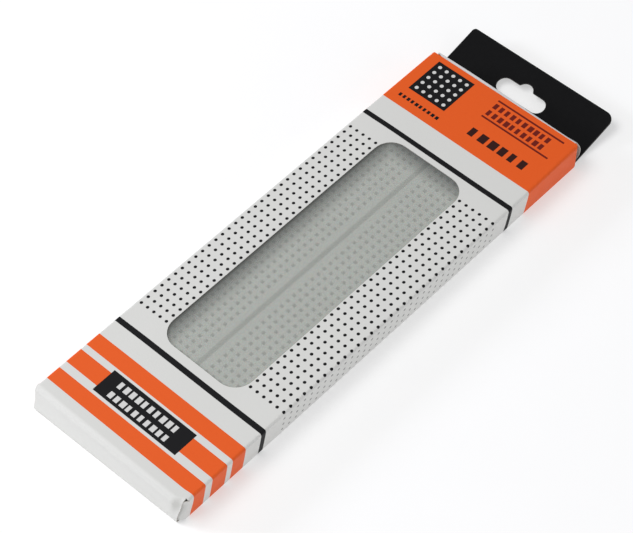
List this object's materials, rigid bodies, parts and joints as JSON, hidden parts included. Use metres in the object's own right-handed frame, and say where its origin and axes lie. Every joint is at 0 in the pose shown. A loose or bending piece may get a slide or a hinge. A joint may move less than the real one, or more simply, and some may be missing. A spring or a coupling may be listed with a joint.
{
  "type": "boxed solderless breadboard",
  "caption": "Full-size solderless breadboard packed in a flat windowed paperboard hang-tab carton, with opening end closures, dust flaps and a creased hanging tab.",
  "frame": {"origin": "centre of the back panel's outer face, on which the carton rests", "axes": "+Z out of the carton's front, +Y along the carton towards the hang tab, +X across to the right when looking at the front"},
  "size_m": [0.0572, 0.1882, 0.01],
  "materials": {
    "printed_carton": "satin coated paperboard printed with plain dots, bands and stripes",
    "carton_flaps": "satin coated paperboard, uncoated inside",
    "hang_tab": "black coated paperboard, two plies",
    "window_film": "thin clear hazy film",
    "board_plastic": "fine matte moulded white plastic",
    "contact_metal": "plated spring metal",
    "foam": "white self-adhesive foam",
    "release_paper": "waxed release paper"
  },
  "bodies": {
    "carton": {"front_panel": "printed_carton", "back_panel": "printed_carton", "side_panel_left": "printed_carton", "side_panel_right": "printed_carton", "glue_flap": "printed_carton", "back_inner_ply": "printed_carton", "window_film": "window_film"},
    "bottom_closure": {"bottom_closure_panel": "carton_flaps", "bottom_tuck_tongue": "carton_flaps"},
    "bottom_flap_left": {"bottom_dust_flap_left": "carton_flaps"},
    "bottom_flap_right": {"bottom_dust_flap_right": "carton_flaps"},
    "top_closure": {"top_closure_panel": "carton_flaps", "top_tuck_tongue": "carton_flaps"},
    "top_flap_left": {"top_dust_flap_left": "carton_flaps"},
    "top_flap_right": {"top_dust_flap_right": "carton_flaps"},
    "hang_tab": {"hang_tab_back_ply": "hang_tab", "hang_tab_front_ply": "hang_tab"},
    "breadboard": {"terminal_block": "board_plastic", "power_rail_left": "board_plastic", "power_rail_right": "board_plastic", "terminal_clips_left": "contact_metal", "terminal_clips_right": "contact_metal", "rail_strip_left_outer": "contact_metal", "rail_strip_left_inner": "contact_metal", "rail_strip_right_inner": "contact_metal", "rail_strip_right_outer": "contact_metal", "foam_backing": "foam", "release_liner": "release_paper"}
  },
  "joints": [
    {"name": "bottom_closure_hinge", "type": "hinge", "parent": "carton", "child": "bottom_closure", "pos_m": [0, -0.082, 0.01], "axis": [-1, 0, 0], "range_deg": [0, 110], "deforming": ["bottom_tuck_tongue"]},
    {"name": "bottom_flap_left_hinge", "type": "hinge", "parent": "carton", "child": "bottom_flap_left", "pos_m": [-0.02855, -0.0828, 0.005], "axis": [0, 0, -1], "range_deg": [0, 60.5]},
    {"name": "bottom_flap_right_hinge", "type": "hinge", "parent": "carton", "child": "bottom_flap_right", "pos_m": [0.02855, -0.0828, 0.005], "axis": [0, 0, 1], "range_deg": [0, 60.5]},
    {"name": "top_closure_hinge", "type": "hinge", "parent": "carton", "child": "top_closure", "pos_m": [0, 0.0842, 0.00075], "axis": [-1, 0, 0], "range_deg": [0, 52], "deforming": ["top_tuck_tongue"]},
    {"name": "top_flap_left_hinge", "type": "hinge", "parent": "carton", "child": "top_flap_left", "pos_m": [-0.02855, 0.0828, 0.005], "axis": [0, 0, 1], "range_deg": [0, 28.6]},
    {"name": "top_flap_right_hinge", "type": "hinge", "parent": "carton", "child": "top_flap_right", "pos_m": [0.02855, 0.0828, 0.005], "axis": [0, 0, -1], "range_deg": [0, 28.6]},
    {"name": "hang_tab_crease", "type": "hinge", "parent": "carton", "child": "hang_tab", "pos_m": [0, 0.08425, 0], "axis": [1, 0, 0], "range_deg": [-100, 3]},
    {"name": "board_slide", "type": "slide", "parent": "carton", "child": "breadboard", "axis": [0, 1, 0], "range_m": [-0.0007, 0]}
  ],
  "couplings": [
    {"joint": "bottom_flap_left_hinge", "follows": "bottom_closure_hinge", "ratio": 0.55},
    {"joint": "bottom_flap_right_hinge", "follows": "bottom_closure_hinge", "ratio": 0.55},
    {"joint": "top_flap_left_hinge", "follows": "top_closure_hinge", "ratio": 0.55},
    {"joint": "top_flap_right_hinge", "follows": "top_closure_hinge", "ratio": 0.55}
  ]
}
